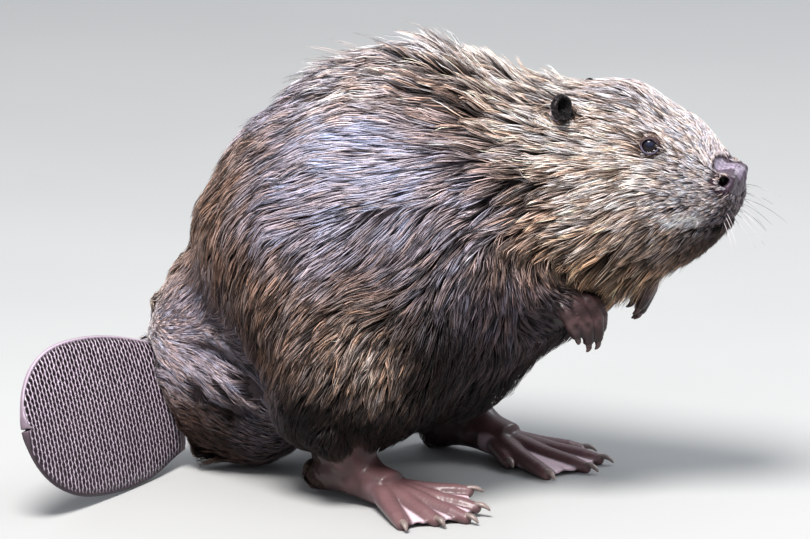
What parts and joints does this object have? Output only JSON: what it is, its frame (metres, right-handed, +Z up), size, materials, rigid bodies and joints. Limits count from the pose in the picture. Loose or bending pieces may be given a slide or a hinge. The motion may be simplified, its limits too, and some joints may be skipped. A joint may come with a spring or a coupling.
{
  "type": "beaver",
  "caption": "Life-size beaver sitting up on its webbed hind feet, hands held at the chest, flat scaled tail turned to its right side.",
  "frame": {"origin": "on the floor, under the centre of the bounding box", "axes": "+X the way the animal faces, its right side is -Y, +Z up"},
  "size_m": [0.4758, 0.3246, 0.325],
  "materials": {
    "fur": "wet guard hairs over dark brown underfur, paler and greyer on the head",
    "bare_skin": "bare wet mauve-brown skin with pale horn claws",
    "tail_scales": "purple-grey scaled skin with dark seams",
    "nose_skin": "dark damp grained skin",
    "eye": "black glossy eye"
  },
  "bodies": {
    "root": {"ear_left": "fur", "ear_right": "fur", "eye_left": "eye", "eye_right": "eye", "foot_left": "bare_skin", "foot_right": "bare_skin", "forearm_left": "fur", "forearm_right": "fur", "hand_left": "bare_skin", "hand_right": "bare_skin", "head": "fur", "lower_jaw": "fur", "neck": "fur", "nose": "nose_skin", "shank_left": "fur", "shank_right": "fur", "tail_paddle": "tail_scales", "tail_root": "fur", "thigh_left": "fur", "thigh_right": "fur", "trunk": "fur"}
  },
  "joints": []
}
